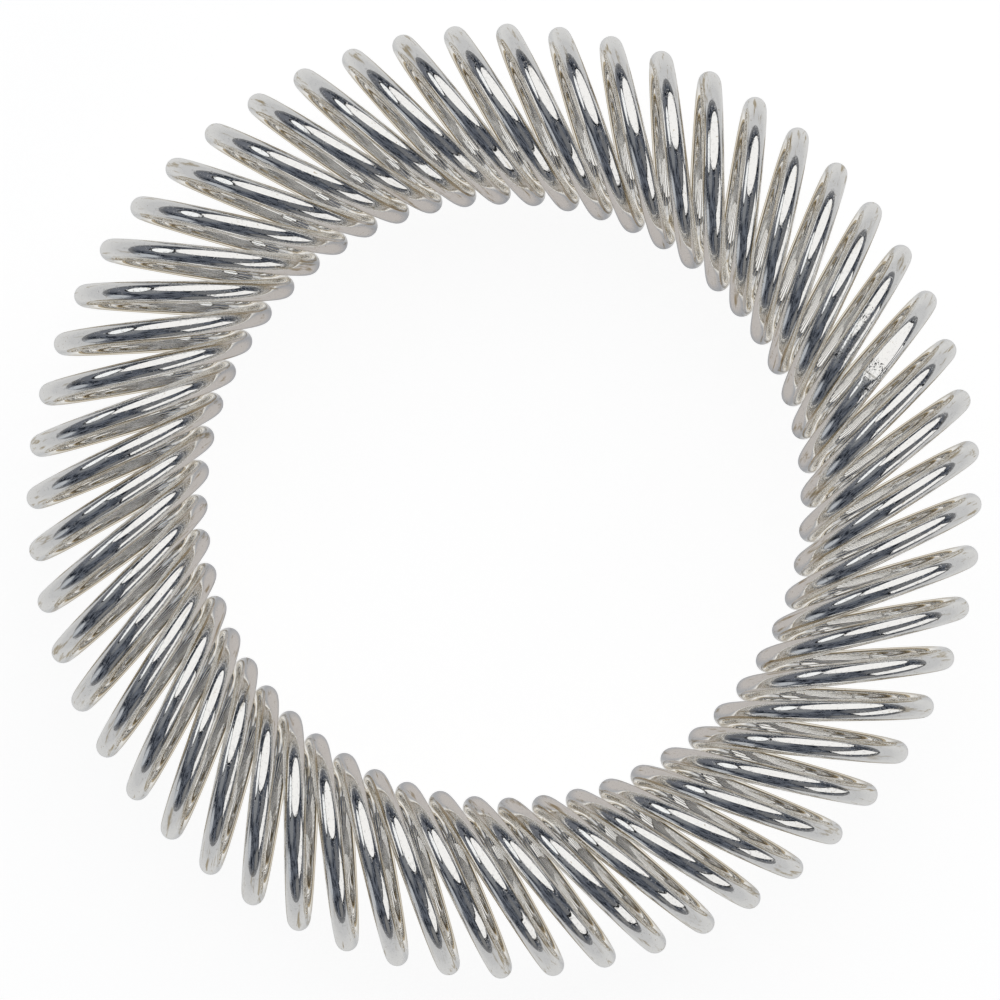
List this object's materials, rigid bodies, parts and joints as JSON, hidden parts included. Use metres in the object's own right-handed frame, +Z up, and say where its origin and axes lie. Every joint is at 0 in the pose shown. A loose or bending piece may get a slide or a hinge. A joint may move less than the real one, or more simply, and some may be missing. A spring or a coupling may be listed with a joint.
{
  "type": "spring coil toy",
  "caption": "Closed ring of polished spring wire, coiled so that every turn leans the same way like a row of tipped hoops. It squeezes to an oval and springs back.",
  "frame": {"origin": "on the surface under the ring, at the ring's middle", "axes": "+Z up along the ring's axis; the turn with the brazed wire ends is 70.5 degrees clockwise from +Y seen from above"},
  "size_m": [0.1, 0.1, 0.0218],
  "materials": {
    "plated_wire": "mirror-bright plating on hard-drawn steel wire, faintly stained and finely scratched",
    "braze": "silver braze, dressed flush with the wire"
  },
  "bodies": {
    "joined_turn": {"wire_start": "plated_wire", "end_braze": "braze", "wire_finish": "plated_wire"},
    "turn_01": {"turn_01": "plated_wire"},
    "turn_02": {"turn_02": "plated_wire"},
    "turn_03": {"turn_03": "plated_wire"},
    "turn_04": {"turn_04": "plated_wire"},
    "turn_05": {"turn_05": "plated_wire"},
    "turn_06": {"turn_06": "plated_wire"},
    "turn_07": {"turn_07": "plated_wire"},
    "turn_08": {"turn_08": "plated_wire"},
    "turn_09": {"turn_09": "plated_wire"},
    "turn_10": {"turn_10": "plated_wire"},
    "turn_11": {"turn_11": "plated_wire"},
    "turn_12": {"turn_12": "plated_wire"},
    "turn_13": {"turn_13": "plated_wire"},
    "turn_14": {"turn_14": "plated_wire"},
    "turn_15": {"turn_15": "plated_wire"},
    "turn_16": {"turn_16": "plated_wire"},
    "turn_17": {"turn_17": "plated_wire"},
    "turn_18": {"turn_18": "plated_wire"},
    "turn_19": {"turn_19": "plated_wire"},
    "turn_20": {"turn_20": "plated_wire"},
    "turn_21": {"turn_21": "plated_wire"},
    "turn_22": {"turn_22": "plated_wire"},
    "turn_23": {"turn_23": "plated_wire"},
    "turn_24": {"turn_24": "plated_wire"},
    "turn_25": {"turn_25": "plated_wire"},
    "turn_26": {"turn_26": "plated_wire"},
    "turn_27": {"turn_27": "plated_wire"},
    "turn_28": {"turn_28": "plated_wire"},
    "turn_29": {"turn_29": "plated_wire"},
    "turn_30": {"turn_30": "plated_wire"},
    "turn_31": {"turn_31": "plated_wire"},
    "turn_32": {"turn_32": "plated_wire"},
    "turn_33": {"turn_33": "plated_wire"},
    "turn_34": {"turn_34": "plated_wire"},
    "turn_35": {"turn_35": "plated_wire"},
    "turn_36": {"turn_36": "plated_wire"},
    "turn_37": {"turn_37": "plated_wire"},
    "turn_38": {"turn_38": "plated_wire"},
    "turn_39": {"turn_39": "plated_wire"},
    "turn_40": {"turn_40": "plated_wire"},
    "turn_41": {"turn_41": "plated_wire"},
    "turn_42": {"turn_42": "plated_wire"},
    "turn_43": {"turn_43": "plated_wire"},
    "turn_44": {"turn_44": "plated_wire"},
    "turn_45": {"turn_45": "plated_wire"},
    "turn_46": {"turn_46": "plated_wire"},
    "turn_47": {"turn_47": "plated_wire"},
    "turn_48": {"turn_48": "plated_wire"},
    "turn_49": {"turn_49": "plated_wire"},
    "turn_50": {"turn_50": "plated_wire"},
    "turn_51": {"turn_51": "plated_wire"},
    "turn_52": {"turn_52": "plated_wire"},
    "turn_53": {"turn_53": "plated_wire"},
    "turn_54": {"turn_54": "plated_wire"},
    "turn_55": {"turn_55": "plated_wire"}
  },
  "joints": [
    {"name": "flex_01", "type": "hinge", "parent": "joined_turn", "child": "turn_01", "pos_m": [0.03193, 0.00415, 0.01088], "axis": [0, 0, 1], "range_deg": [-5.85, 5.85], "stiffness_Nm_per_rad": 4.01},
    {"name": "squeeze_sides", "type": "hinge", "parent": "turn_01", "child": "turn_02", "pos_m": [0.03219, 0.00055, 0.01088], "axis": [0, 0, 1], "range_deg": [-6, 6], "stiffness_Nm_per_rad": 4.01},
    {"name": "flex_03", "type": "hinge", "parent": "turn_02", "child": "turn_03", "pos_m": [0.03205, -0.00306, 0.01088], "axis": [0, 0, 1], "range_deg": [-5.85, 5.85], "stiffness_Nm_per_rad": 4.01},
    {"name": "flex_04", "type": "hinge", "parent": "turn_03", "child": "turn_04", "pos_m": [0.03151, -0.00663, 0.01088], "axis": [0, 0, 1], "range_deg": [-5.41, 5.41], "stiffness_Nm_per_rad": 4.01},
    {"name": "flex_05", "type": "hinge", "parent": "turn_04", "child": "turn_05", "pos_m": [0.03057, -0.01011, 0.01088], "axis": [0, 0, 1], "range_deg": [-4.69, 4.69], "stiffness_Nm_per_rad": 4.01},
    {"name": "flex_06", "type": "hinge", "parent": "turn_05", "child": "turn_06", "pos_m": [0.02924, -0.01347, 0.01088], "axis": [0, 0, 1], "range_deg": [-4.69, 4.69], "stiffness_Nm_per_rad": 4.01},
    {"name": "flex_07", "type": "hinge", "parent": "turn_06", "child": "turn_07", "pos_m": [0.02755, -0.01666, 0.01088], "axis": [0, 0, 1], "range_deg": [-5.41, 5.41], "stiffness_Nm_per_rad": 4.01},
    {"name": "flex_08", "type": "hinge", "parent": "turn_07", "child": "turn_08", "pos_m": [0.02551, -0.01964, 0.01088], "axis": [0, 0, 1], "range_deg": [-5.85, 5.85], "stiffness_Nm_per_rad": 4.01},
    {"name": "squeeze_diagonal", "type": "hinge", "parent": "turn_08", "child": "turn_09", "pos_m": [0.02315, -0.02238, 0.01088], "axis": [0, 0, 1], "range_deg": [-6, 6], "stiffness_Nm_per_rad": 4.01},
    {"name": "flex_10", "type": "hinge", "parent": "turn_09", "child": "turn_10", "pos_m": [0.0205, -0.02483, 0.01088], "axis": [0, 0, 1], "range_deg": [-5.85, 5.85], "stiffness_Nm_per_rad": 4.01},
    {"name": "flex_11", "type": "hinge", "parent": "turn_10", "child": "turn_11", "pos_m": [0.01759, -0.02697, 0.01088], "axis": [0, 0, 1], "range_deg": [-5.41, 5.41], "stiffness_Nm_per_rad": 4.01},
    {"name": "flex_12", "type": "hinge", "parent": "turn_11", "child": "turn_12", "pos_m": [0.01446, -0.02877, 0.01088], "axis": [0, 0, 1], "range_deg": [-4.69, 4.69], "stiffness_Nm_per_rad": 4.01},
    {"name": "flex_13", "type": "hinge", "parent": "turn_12", "child": "turn_13", "pos_m": [0.01115, -0.03021, 0.01088], "axis": [0, 0, 1], "range_deg": [-4.69, 4.69], "stiffness_Nm_per_rad": 4.01},
    {"name": "flex_14", "type": "hinge", "parent": "turn_13", "child": "turn_14", "pos_m": [0.0077, -0.03126, 0.01088], "axis": [0, 0, 1], "range_deg": [-5.41, 5.41], "stiffness_Nm_per_rad": 4.01},
    {"name": "flex_15", "type": "hinge", "parent": "turn_14", "child": "turn_15", "pos_m": [0.00415, -0.03193, 0.01088], "axis": [0, 0, 1], "range_deg": [-5.85, 5.85], "stiffness_Nm_per_rad": 4.01},
    {"name": "flex_16", "type": "hinge", "parent": "turn_15", "child": "turn_16", "pos_m": [0.00055, -0.03219, 0.01088], "axis": [0, 0, 1], "range_deg": [-6, 6], "stiffness_Nm_per_rad": 4.01},
    {"name": "flex_17", "type": "hinge", "parent": "turn_16", "child": "turn_17", "pos_m": [-0.00306, -0.03205, 0.01088], "axis": [0, 0, 1], "range_deg": [-5.85, 5.85], "stiffness_Nm_per_rad": 4.01},
    {"name": "flex_18", "type": "hinge", "parent": "turn_17", "child": "turn_18", "pos_m": [-0.00663, -0.03151, 0.01088], "axis": [0, 0, 1], "range_deg": [-5.41, 5.41], "stiffness_Nm_per_rad": 4.01},
    {"name": "flex_19", "type": "hinge", "parent": "turn_18", "child": "turn_19", "pos_m": [-0.01011, -0.03057, 0.01088], "axis": [0, 0, 1], "range_deg": [-4.69, 4.69], "stiffness_Nm_per_rad": 4.01},
    {"name": "flex_20", "type": "hinge", "parent": "turn_19", "child": "turn_20", "pos_m": [-0.01347, -0.02924, 0.01088], "axis": [0, 0, 1], "range_deg": [-4.69, 4.69], "stiffness_Nm_per_rad": 4.01},
    {"name": "flex_21", "type": "hinge", "parent": "turn_20", "child": "turn_21", "pos_m": [-0.01666, -0.02755, 0.01088], "axis": [0, 0, 1], "range_deg": [-5.41, 5.41], "stiffness_Nm_per_rad": 4.01},
    {"name": "flex_22", "type": "hinge", "parent": "turn_21", "child": "turn_22", "pos_m": [-0.01964, -0.02551, 0.01088], "axis": [0, 0, 1], "range_deg": [-5.85, 5.85], "stiffness_Nm_per_rad": 4.01},
    {"name": "flex_23", "type": "hinge", "parent": "turn_22", "child": "turn_23", "pos_m": [-0.02238, -0.02315, 0.01088], "axis": [0, 0, 1], "range_deg": [-6, 6], "stiffness_Nm_per_rad": 4.01},
    {"name": "flex_24", "type": "hinge", "parent": "turn_23", "child": "turn_24", "pos_m": [-0.02483, -0.0205, 0.01088], "axis": [0, 0, 1], "range_deg": [-5.85, 5.85], "stiffness_Nm_per_rad": 4.01},
    {"name": "flex_25", "type": "hinge", "parent": "turn_24", "child": "turn_25", "pos_m": [-0.02697, -0.01759, 0.01088], "axis": [0, 0, 1], "range_deg": [-5.41, 5.41], "stiffness_Nm_per_rad": 4.01},
    {"name": "flex_26", "type": "hinge", "parent": "turn_25", "child": "turn_26", "pos_m": [-0.02877, -0.01446, 0.01088], "axis": [0, 0, 1], "range_deg": [-4.69, 4.69], "stiffness_Nm_per_rad": 4.01},
    {"name": "flex_27", "type": "hinge", "parent": "turn_26", "child": "turn_27", "pos_m": [-0.03021, -0.01115, 0.01088], "axis": [0, 0, 1], "range_deg": [-4.69, 4.69], "stiffness_Nm_per_rad": 4.01},
    {"name": "flex_29", "type": "hinge", "parent": "turn_29", "child": "turn_28", "pos_m": [-0.03193, -0.00415, 0.01088], "axis": [0, 0, 1], "range_deg": [-5.85, 5.85], "stiffness_Nm_per_rad": 4.01},
    {"name": "flex_30", "type": "hinge", "parent": "turn_30", "child": "turn_29", "pos_m": [-0.03219, -0.00055, 0.01088], "axis": [0, 0, 1], "range_deg": [-6, 6], "stiffness_Nm_per_rad": 4.01},
    {"name": "flex_31", "type": "hinge", "parent": "turn_31", "child": "turn_30", "pos_m": [-0.03205, 0.00306, 0.01088], "axis": [0, 0, 1], "range_deg": [-5.85, 5.85], "stiffness_Nm_per_rad": 4.01},
    {"name": "flex_32", "type": "hinge", "parent": "turn_32", "child": "turn_31", "pos_m": [-0.03151, 0.00663, 0.01088], "axis": [0, 0, 1], "range_deg": [-5.41, 5.41], "stiffness_Nm_per_rad": 4.01},
    {"name": "flex_33", "type": "hinge", "parent": "turn_33", "child": "turn_32", "pos_m": [-0.03057, 0.01011, 0.01088], "axis": [0, 0, 1], "range_deg": [-4.69, 4.69], "stiffness_Nm_per_rad": 4.01},
    {"name": "flex_34", "type": "hinge", "parent": "turn_34", "child": "turn_33", "pos_m": [-0.02924, 0.01347, 0.01088], "axis": [0, 0, 1], "range_deg": [-4.69, 4.69], "stiffness_Nm_per_rad": 4.01},
    {"name": "flex_35", "type": "hinge", "parent": "turn_35", "child": "turn_34", "pos_m": [-0.02755, 0.01666, 0.01088], "axis": [0, 0, 1], "range_deg": [-5.41, 5.41], "stiffness_Nm_per_rad": 4.01},
    {"name": "flex_36", "type": "hinge", "parent": "turn_36", "child": "turn_35", "pos_m": [-0.02551, 0.01964, 0.01088], "axis": [0, 0, 1], "range_deg": [-5.85, 5.85], "stiffness_Nm_per_rad": 4.01},
    {"name": "flex_37", "type": "hinge", "parent": "turn_37", "child": "turn_36", "pos_m": [-0.02315, 0.02238, 0.01088], "axis": [0, 0, 1], "range_deg": [-6, 6], "stiffness_Nm_per_rad": 4.01},
    {"name": "flex_38", "type": "hinge", "parent": "turn_38", "child": "turn_37", "pos_m": [-0.0205, 0.02483, 0.01088], "axis": [0, 0, 1], "range_deg": [-5.85, 5.85], "stiffness_Nm_per_rad": 4.01},
    {"name": "flex_39", "type": "hinge", "parent": "turn_39", "child": "turn_38", "pos_m": [-0.01759, 0.02697, 0.01088], "axis": [0, 0, 1], "range_deg": [-5.41, 5.41], "stiffness_Nm_per_rad": 4.01},
    {"name": "flex_40", "type": "hinge", "parent": "turn_40", "child": "turn_39", "pos_m": [-0.01446, 0.02877, 0.01088], "axis": [0, 0, 1], "range_deg": [-4.69, 4.69], "stiffness_Nm_per_rad": 4.01},
    {"name": "flex_41", "type": "hinge", "parent": "turn_41", "child": "turn_40", "pos_m": [-0.01115, 0.03021, 0.01088], "axis": [0, 0, 1], "range_deg": [-4.69, 4.69], "stiffness_Nm_per_rad": 4.01},
    {"name": "flex_42", "type": "hinge", "parent": "turn_42", "child": "turn_41", "pos_m": [-0.0077, 0.03126, 0.01088], "axis": [0, 0, 1], "range_deg": [-5.41, 5.41], "stiffness_Nm_per_rad": 4.01},
    {"name": "flex_43", "type": "hinge", "parent": "turn_43", "child": "turn_42", "pos_m": [-0.00415, 0.03193, 0.01088], "axis": [0, 0, 1], "range_deg": [-5.85, 5.85], "stiffness_Nm_per_rad": 4.01},
    {"name": "flex_44", "type": "hinge", "parent": "turn_44", "child": "turn_43", "pos_m": [-0.00055, 0.03219, 0.01088], "axis": [0, 0, 1], "range_deg": [-6, 6], "stiffness_Nm_per_rad": 4.01},
    {"name": "flex_45", "type": "hinge", "parent": "turn_45", "child": "turn_44", "pos_m": [0.00306, 0.03205, 0.01088], "axis": [0, 0, 1], "range_deg": [-5.85, 5.85], "stiffness_Nm_per_rad": 4.01},
    {"name": "flex_46", "type": "hinge", "parent": "turn_46", "child": "turn_45", "pos_m": [0.00663, 0.03151, 0.01088], "axis": [0, 0, 1], "range_deg": [-5.41, 5.41], "stiffness_Nm_per_rad": 4.01},
    {"name": "flex_47", "type": "hinge", "parent": "turn_47", "child": "turn_46", "pos_m": [0.01011, 0.03057, 0.01088], "axis": [0, 0, 1], "range_deg": [-4.69, 4.69], "stiffness_Nm_per_rad": 4.01},
    {"name": "flex_48", "type": "hinge", "parent": "turn_48", "child": "turn_47", "pos_m": [0.01347, 0.02924, 0.01088], "axis": [0, 0, 1], "range_deg": [-4.69, 4.69], "stiffness_Nm_per_rad": 4.01},
    {"name": "flex_49", "type": "hinge", "parent": "turn_49", "child": "turn_48", "pos_m": [0.01666, 0.02755, 0.01088], "axis": [0, 0, 1], "range_deg": [-5.41, 5.41], "stiffness_Nm_per_rad": 4.01},
    {"name": "flex_50", "type": "hinge", "parent": "turn_50", "child": "turn_49", "pos_m": [0.01964, 0.02551, 0.01088], "axis": [0, 0, 1], "range_deg": [-5.85, 5.85], "stiffness_Nm_per_rad": 4.01},
    {"name": "flex_51", "type": "hinge", "parent": "turn_51", "child": "turn_50", "pos_m": [0.02238, 0.02315, 0.01088], "axis": [0, 0, 1], "range_deg": [-6, 6], "stiffness_Nm_per_rad": 4.01},
    {"name": "flex_52", "type": "hinge", "parent": "turn_52", "child": "turn_51", "pos_m": [0.02483, 0.0205, 0.01088], "axis": [0, 0, 1], "range_deg": [-5.85, 5.85], "stiffness_Nm_per_rad": 4.01},
    {"name": "flex_53", "type": "hinge", "parent": "turn_53", "child": "turn_52", "pos_m": [0.02697, 0.01759, 0.01088], "axis": [0, 0, 1], "range_deg": [-5.41, 5.41], "stiffness_Nm_per_rad": 4.01},
    {"name": "flex_54", "type": "hinge", "parent": "turn_54", "child": "turn_53", "pos_m": [0.02877, 0.01446, 0.01088], "axis": [0, 0, 1], "range_deg": [-4.69, 4.69], "stiffness_Nm_per_rad": 4.01},
    {"name": "flex_55", "type": "hinge", "parent": "turn_55", "child": "turn_54", "pos_m": [0.03021, 0.01115, 0.01088], "axis": [0, 0, 1], "range_deg": [-4.69, 4.69], "stiffness_Nm_per_rad": 4.01},
    {"name": "flex_56", "type": "hinge", "parent": "joined_turn", "child": "turn_55", "pos_m": [0.03126, 0.0077, 0.01088], "axis": [0, 0, 1], "range_deg": [-5.41, 5.41], "stiffness_Nm_per_rad": 4.01}
  ],
  "couplings": [
    {"joint": "flex_01", "follows": "squeeze_sides", "ratio": 0.97493},
    {"joint": "flex_03", "follows": "squeeze_sides", "ratio": 0.97493},
    {"joint": "flex_04", "follows": "squeeze_sides", "ratio": 0.90097},
    {"joint": "flex_05", "follows": "squeeze_sides", "ratio": 0.78183},
    {"joint": "flex_06", "follows": "squeeze_diagonal", "ratio": 0.78183},
    {"joint": "flex_07", "follows": "squeeze_diagonal", "ratio": 0.90097},
    {"joint": "flex_08", "follows": "squeeze_diagonal", "ratio": 0.97493},
    {"joint": "flex_10", "follows": "squeeze_diagonal", "ratio": 0.97493},
    {"joint": "flex_11", "follows": "squeeze_diagonal", "ratio": 0.90097},
    {"joint": "flex_12", "follows": "squeeze_diagonal", "ratio": 0.78183},
    {"joint": "flex_13", "follows": "squeeze_sides", "ratio": -0.78183},
    {"joint": "flex_14", "follows": "squeeze_sides", "ratio": -0.90097},
    {"joint": "flex_15", "follows": "squeeze_sides", "ratio": -0.97493},
    {"joint": "flex_16", "follows": "squeeze_sides", "ratio": -1},
    {"joint": "flex_17", "follows": "squeeze_sides", "ratio": -0.97493},
    {"joint": "flex_18", "follows": "squeeze_sides", "ratio": -0.90097},
    {"joint": "flex_19", "follows": "squeeze_sides", "ratio": -0.78183},
    {"joint": "flex_20", "follows": "squeeze_diagonal", "ratio": -0.78183},
    {"joint": "flex_21", "follows": "squeeze_diagonal", "ratio": -0.90097},
    {"joint": "flex_22", "follows": "squeeze_diagonal", "ratio": -0.97493},
    {"joint": "flex_23", "follows": "squeeze_diagonal", "ratio": -1},
    {"joint": "flex_24", "follows": "squeeze_diagonal", "ratio": -0.97493},
    {"joint": "flex_25", "follows": "squeeze_diagonal", "ratio": -0.90097},
    {"joint": "flex_26", "follows": "squeeze_diagonal", "ratio": -0.78183},
    {"joint": "flex_27", "follows": "squeeze_sides", "ratio": 0.78183},
    {"joint": "flex_29", "follows": "squeeze_sides", "ratio": -0.97493},
    {"joint": "flex_30", "follows": "squeeze_sides", "ratio": -1},
    {"joint": "flex_31", "follows": "squeeze_sides", "ratio": -0.97493},
    {"joint": "flex_32", "follows": "squeeze_sides", "ratio": -0.90097},
    {"joint": "flex_33", "follows": "squeeze_sides", "ratio": -0.78183},
    {"joint": "flex_34", "follows": "squeeze_diagonal", "ratio": -0.78183},
    {"joint": "flex_35", "follows": "squeeze_diagonal", "ratio": -0.90097},
    {"joint": "flex_36", "follows": "squeeze_diagonal", "ratio": -0.97493},
    {"joint": "flex_37", "follows": "squeeze_diagonal", "ratio": -1},
    {"joint": "flex_38", "follows": "squeeze_diagonal", "ratio": -0.97493},
    {"joint": "flex_39", "follows": "squeeze_diagonal", "ratio": -0.90097},
    {"joint": "flex_40", "follows": "squeeze_diagonal", "ratio": -0.78183},
    {"joint": "flex_41", "follows": "squeeze_sides", "ratio": 0.78183},
    {"joint": "flex_42", "follows": "squeeze_sides", "ratio": 0.90097},
    {"joint": "flex_43", "follows": "squeeze_sides", "ratio": 0.97493},
    {"joint": "flex_44", "follows": "squeeze_sides", "ratio": 1},
    {"joint": "flex_45", "follows": "squeeze_sides", "ratio": 0.97493},
    {"joint": "flex_46", "follows": "squeeze_sides", "ratio": 0.90097},
    {"joint": "flex_47", "follows": "squeeze_sides", "ratio": 0.78183},
    {"joint": "flex_48", "follows": "squeeze_diagonal", "ratio": 0.78183},
    {"joint": "flex_49", "follows": "squeeze_diagonal", "ratio": 0.90097},
    {"joint": "flex_50", "follows": "squeeze_diagonal", "ratio": 0.97493},
    {"joint": "flex_51", "follows": "squeeze_diagonal", "ratio": 1},
    {"joint": "flex_52", "follows": "squeeze_diagonal", "ratio": 0.97493},
    {"joint": "flex_53", "follows": "squeeze_diagonal", "ratio": 0.90097},
    {"joint": "flex_54", "follows": "squeeze_diagonal", "ratio": 0.78183},
    {"joint": "flex_55", "follows": "squeeze_sides", "ratio": -0.78183},
    {"joint": "flex_56", "follows": "squeeze_sides", "ratio": -0.90097}
  ]
}
